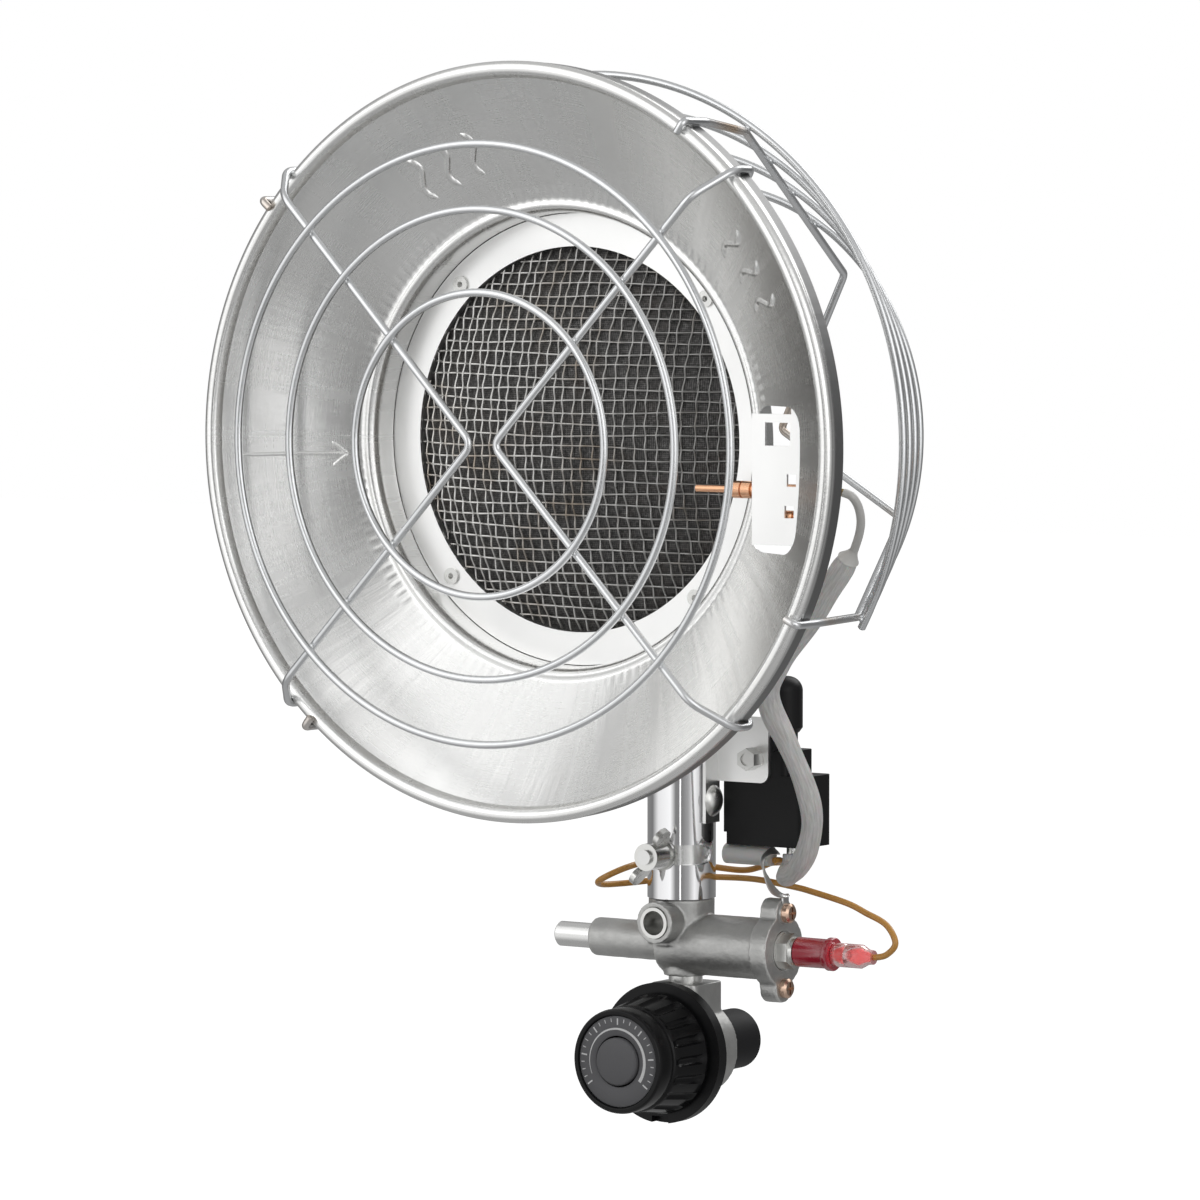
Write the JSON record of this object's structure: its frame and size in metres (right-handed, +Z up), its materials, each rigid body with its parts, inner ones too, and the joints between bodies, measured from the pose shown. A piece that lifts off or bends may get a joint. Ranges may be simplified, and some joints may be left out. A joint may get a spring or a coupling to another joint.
{
  "type": "portable propane heater",
  "caption": "Tank-top infrared heater: dished reflector with a mesh burner behind wire guards, on a swivel neck above a safety valve and a regulator with a control knob.",
  "frame": {"origin": "centre of the gas inlet's mouth, at the back of the regulator", "axes": "+Z up along the neck, +Y out of the gas inlet, so the dish faces -Y and +X is the igniter's side"},
  "size_m": [0.3, 0.2112, 0.4325],
  "materials": {
    "casting": "satin, as cast",
    "plated_steel": "satin zinc plate",
    "chrome": "polished",
    "dish_steel": "spun and polished",
    "guard_wire": "bright drawn wire",
    "mesh_steel": "woven wire",
    "spring_steel": "bare wire",
    "brass": "turned",
    "copper": "heat tinted copper alloy",
    "copper_screw": "yellow passivated",
    "black_plastic": "satin moulded",
    "grey_plastic": "satin moulded",
    "red_plastic": "translucent",
    "clear_sleeve": "translucent",
    "orange_lead": "insulated wire",
    "braid": "flat braid",
    "rubber": "matt"
  },
  "bodies": {
    "base": {"valve_body": "casting", "neck_post": "plated_steel", "gas_jet": "brass", "clamp_stud": "plated_steel", "clamp_washers": "plated_steel", "pin_spring": "spring_steel", "magnet_unit": "brass", "flange_screws": "copper_screw", "flange_nut": "plated_steel", "connector_socket": "red_plastic", "connector_plug": "red_plastic", "port_bush": "plated_steel", "union_collar": "plated_steel", "bleed_screw": "plated_steel", "regulator_body": "casting", "regulator_bonnet": "black_plastic", "diaphragm": "rubber", "range_spring": "spring_steel", "inlet_barrel": "black_plastic", "inlet_bush": "brass", "inlet_filter": "brass", "ground_lead": "braid", "switch_lead": "orange_lead"},
    "head": {"neck_sleeve": "chrome", "feed_tube": "dish_steel", "burner_pan": "dish_steel", "burner_plate": "dish_steel", "burner_mesh": "mesh_steel", "inner_mesh": "mesh_steel", "burner_rivets": "plated_steel", "reflector": "dish_steel", "front_rings": "guard_wire", "front_spokes": "guard_wire", "rear_rings": "guard_wire", "rear_spokes": "guard_wire", "electrode_bracket": "dish_steel", "spark_electrode": "copper", "electrode_terminal": "brass", "thermocouple": "copper", "igniter_bracket": "plated_steel", "bracket_rivet": "plated_steel", "bracket_bolt": "plated_steel", "bracket_nut": "plated_steel", "igniter_housing": "black_plastic", "button_spring": "spring_steel", "piezo_element": "black_plastic", "piezo_terminal": "plated_steel", "tilt_switch": "clear_sleeve", "spark_lead": "clear_sleeve", "lead_boot": "clear_sleeve"},
    "safety_pin": {"push_pin": "plated_steel", "valve_disc": "rubber"},
    "control_knob": {"knob": "black_plastic", "knob_cap": "grey_plastic", "knob_spindle": "plated_steel"},
    "clamp_nut": {"wing_nut": "plated_steel"},
    "button": {"igniter_button": "black_plastic"}
  },
  "joints": [
    {"name": "head_swing", "type": "hinge", "parent": "base", "child": "head", "pos_m": [0, -0.041, 0.0815], "axis": [0, 0, 1], "range_deg": [-74, 0], "deforming": ["switch_lead", "ground_lead"]},
    {"name": "knob_turn", "type": "hinge", "parent": "base", "child": "control_knob", "pos_m": [0, -0.089, 0], "axis": [0, -1, 0], "range_deg": [0, 270]},
    {"name": "wing_nut_turn", "type": "hinge", "parent": "base", "child": "clamp_nut", "pos_m": [0, -0.0577, 0.0815], "axis": [0, -1, 0], "range_deg": [0, 180]},
    {"name": "pin_push", "type": "slide", "parent": "base", "child": "safety_pin", "axis": [1, 0, 0], "range_m": [0, 0.006], "stiffness_N_per_m": 1000, "springref_m": -0.006, "deforming": ["pin_spring"]},
    {"name": "button_push", "type": "slide", "parent": "head", "child": "button", "axis": [0, 0, -1], "range_m": [0, 0.006], "stiffness_N_per_m": 800, "springref_m": -0.005, "deforming": ["button_spring"]}
  ]
}
